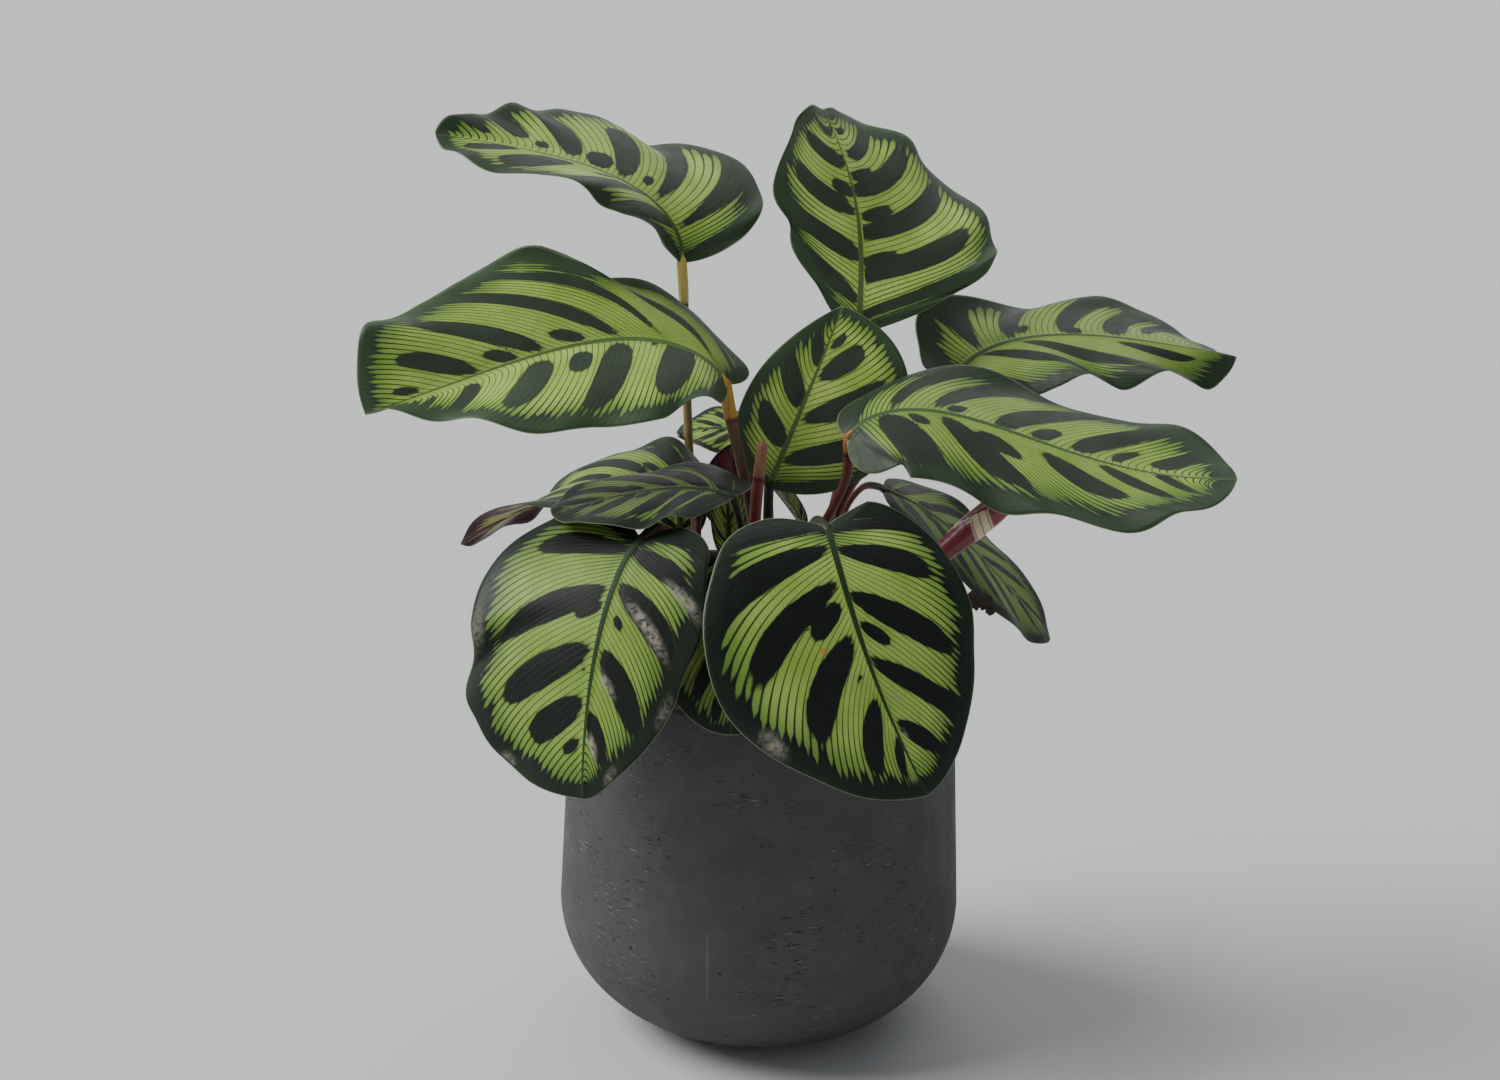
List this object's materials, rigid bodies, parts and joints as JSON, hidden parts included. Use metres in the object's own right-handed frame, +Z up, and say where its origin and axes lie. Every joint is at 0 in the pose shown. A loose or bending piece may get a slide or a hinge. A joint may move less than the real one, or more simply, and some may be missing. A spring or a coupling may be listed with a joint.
{
  "type": "potted calathea",
  "caption": "Potted peacock calathea: patterned oval leaves on slender stalks in a round dark-grey fibre-clay pot filled with soil.",
  "frame": {"origin": "centre of the pot's flat base, on the surface it stands on", "axes": "+Z up; -Y towards the viewer of the picture, where the two large front leaves hang; +X to the viewer's right"},
  "size_m": [0.3985, 0.2593, 0.4253],
  "materials": {
    "fibre_clay": "matt dark grey, with small pits and pale scratches",
    "soil": "dark, damp, crumbly, with pale grit",
    "leaf": "satin, lime between dark green ovals along the side veins, maroon underneath",
    "stalk": "satin red-brown, yellow-orange at the joint under the blade",
    "rolled_leaf": "satin maroon with cream streaks",
    "dry_leaf": "dull brown, withered"
  },
  "bodies": {
    "root": {"pot": "fibre_clay", "soil": "soil", "leaf_upper_left": "leaf", "stalk_upper_left": "stalk", "leaf_left": "leaf", "stalk_left": "stalk", "leaf_top": "leaf", "stalk_top": "stalk", "leaf_right_rear": "leaf", "stalk_right_rear": "stalk", "leaf_right": "leaf", "stalk_right": "stalk", "leaf_centre": "leaf", "stalk_centre": "stalk", "leaf_front_left": "leaf", "stalk_front_left": "stalk", "leaf_front_right": "leaf", "stalk_front_right": "stalk", "leaf_low_left_rear": "leaf", "stalk_low_left_rear": "stalk", "leaf_low_left": "leaf", "stalk_low_left": "stalk", "leaf_front_middle": "leaf", "stalk_front_middle": "stalk", "leaf_low_right": "leaf", "stalk_low_right": "stalk", "leaf_rear_small": "leaf", "stalk_rear_small": "stalk", "leaf_inner_left": "leaf", "stalk_inner_left": "stalk", "leaf_inner_rear": "leaf", "stalk_inner_rear": "stalk", "leaf_inner_young": "leaf", "stalk_inner_young": "stalk", "leaf_inner_low": "leaf", "stalk_inner_low": "stalk", "spear_new_leaf": "rolled_leaf", "stalk_new_leaf": "stalk", "stalk_cut": "stalk", "leaf_dried": "dry_leaf", "stalk_dried": "dry_leaf"}
  },
  "joints": []
}
